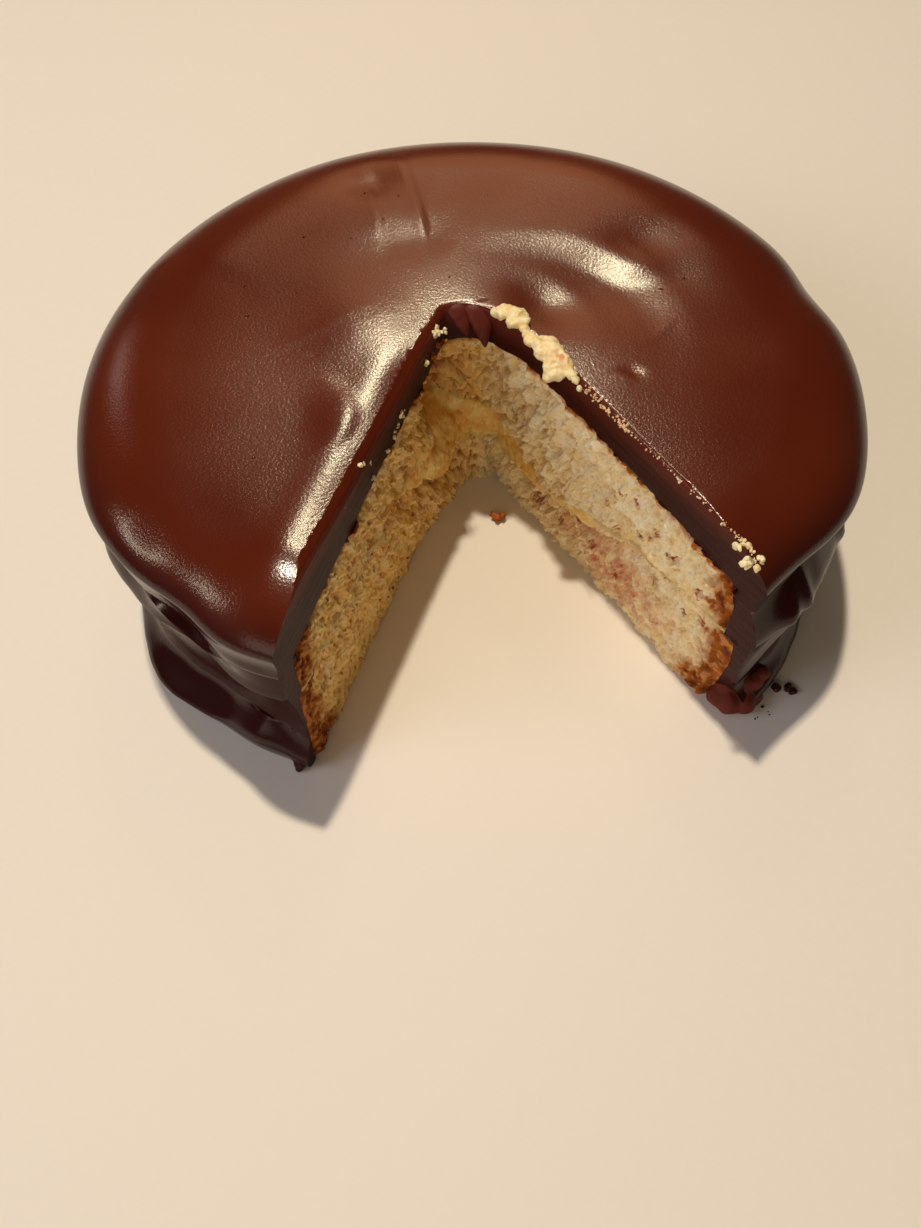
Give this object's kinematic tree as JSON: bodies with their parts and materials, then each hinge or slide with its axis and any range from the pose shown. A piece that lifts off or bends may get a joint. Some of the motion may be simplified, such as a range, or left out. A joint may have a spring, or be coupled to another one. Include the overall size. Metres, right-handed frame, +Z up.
{
  "type": "boston cream pie",
  "caption": "Round chocolate-glazed sponge layer cake with a custard filling and a slice cut out, standing flat.",
  "frame": {"origin": "middle of the cake's bounding box, on the surface it stands on", "axes": "+Z up through the cake, -Y towards the missing slice"},
  "size_m": [0.209, 0.1964, 0.0745],
  "materials": {
    "chocolate_glaze": "satin gloss",
    "sponge": "open crumb",
    "custard": "smooth and moist",
    "cream": "soft"
  },
  "bodies": {
    "root": {"glaze": "chocolate_glaze", "sponge_top": "sponge", "custard": "custard", "sponge_bottom": "sponge", "cream_smear": "cream"}
  },
  "joints": []
}
